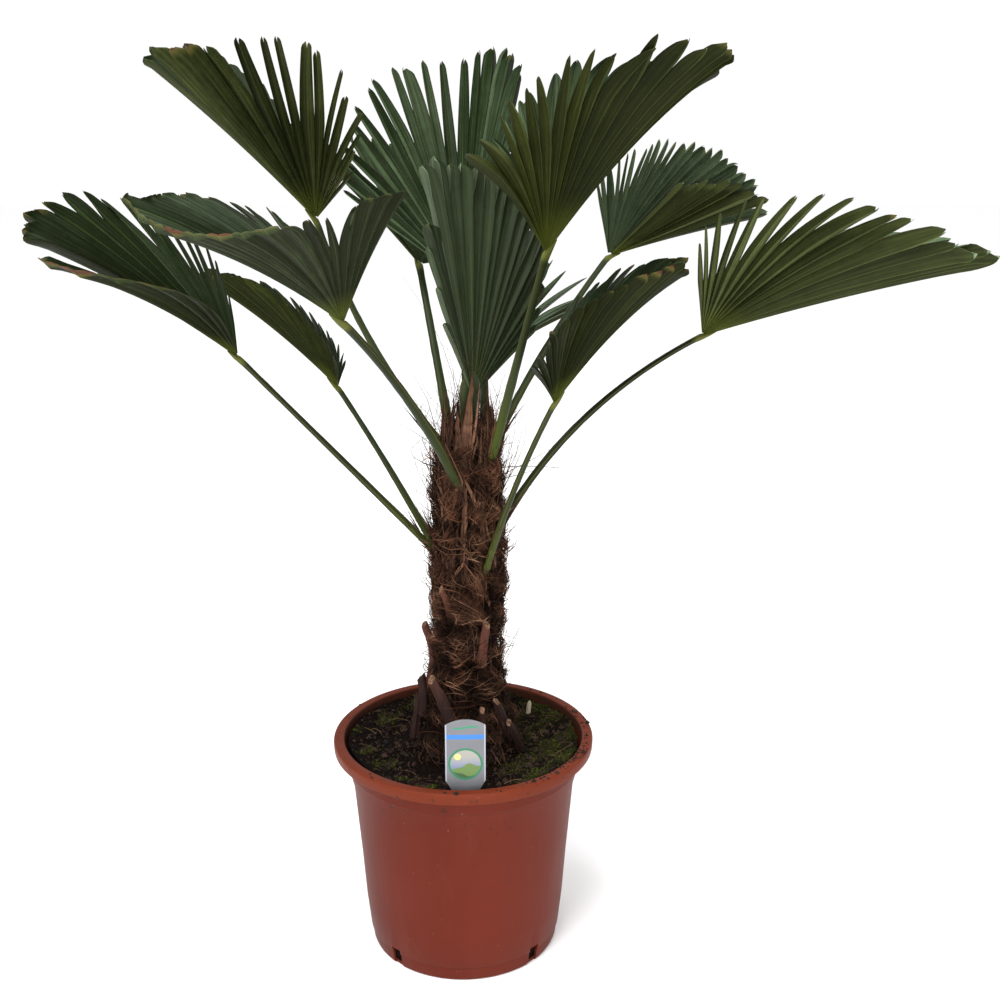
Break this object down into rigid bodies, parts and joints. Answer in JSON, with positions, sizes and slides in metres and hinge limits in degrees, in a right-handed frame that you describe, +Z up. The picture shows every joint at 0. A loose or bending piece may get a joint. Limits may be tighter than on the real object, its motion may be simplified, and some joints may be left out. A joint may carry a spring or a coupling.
{
  "type": "potted wagner windmill palm",
  "caption": "Potted fan palm: a short fibrous trunk with stiff pleated fans on long stalks, in a round terracotta-coloured plastic pot with moist soil, moss and a plain care label",
  "frame": {"origin": "centre of the pot's flat underside", "axes": "+Z up along the trunk, front (the label's side) towards -Y, +X to the right seen from the front"},
  "size_m": [0.996, 0.7407, 1.0942],
  "materials": {
    "pot": "injection-moulded terracotta-coloured plastic, slightly dusty",
    "soil": "moist peat compost with moss",
    "label": null,
    "trunk": "brown leaf-base fibre",
    "petiole": "smooth green leaf stalk",
    "blade": "stiff pleated leaf blade, matt green",
    "stub": "dry cut leaf-stalk base, red-brown with a pale cut end",
    "sheath": "dry brown leaf sheath"
  },
  "bodies": {
    "root": {"pot": "pot", "soil": "soil", "label": "label", "trunk": "trunk", "petiole_01": "petiole", "petiole_02": "petiole", "petiole_03": "petiole", "petiole_04": "petiole", "petiole_05": "petiole", "petiole_06": "petiole", "petiole_07": "petiole", "petiole_08": "petiole", "petiole_09": "petiole", "petiole_10": "petiole", "petiole_11": "petiole", "petiole_12": "petiole", "frond_01": "blade", "frond_02": "blade", "frond_03": "blade", "frond_04": "blade", "frond_05": "blade", "frond_06": "blade", "frond_07": "blade", "frond_08": "blade", "frond_09": "blade", "frond_10": "blade", "frond_11": "blade", "frond_12": "blade", "stub_01": "stub", "stub_02": "stub", "stub_03": "stub", "stub_04": "stub", "stub_05": "stub", "stub_06": "stub", "stub_07": "stub", "stub_08": "stub", "stub_09": "stub", "stub_10": "stub", "sheath_01": "sheath", "sheath_02": "sheath"}
  },
  "joints": []
}
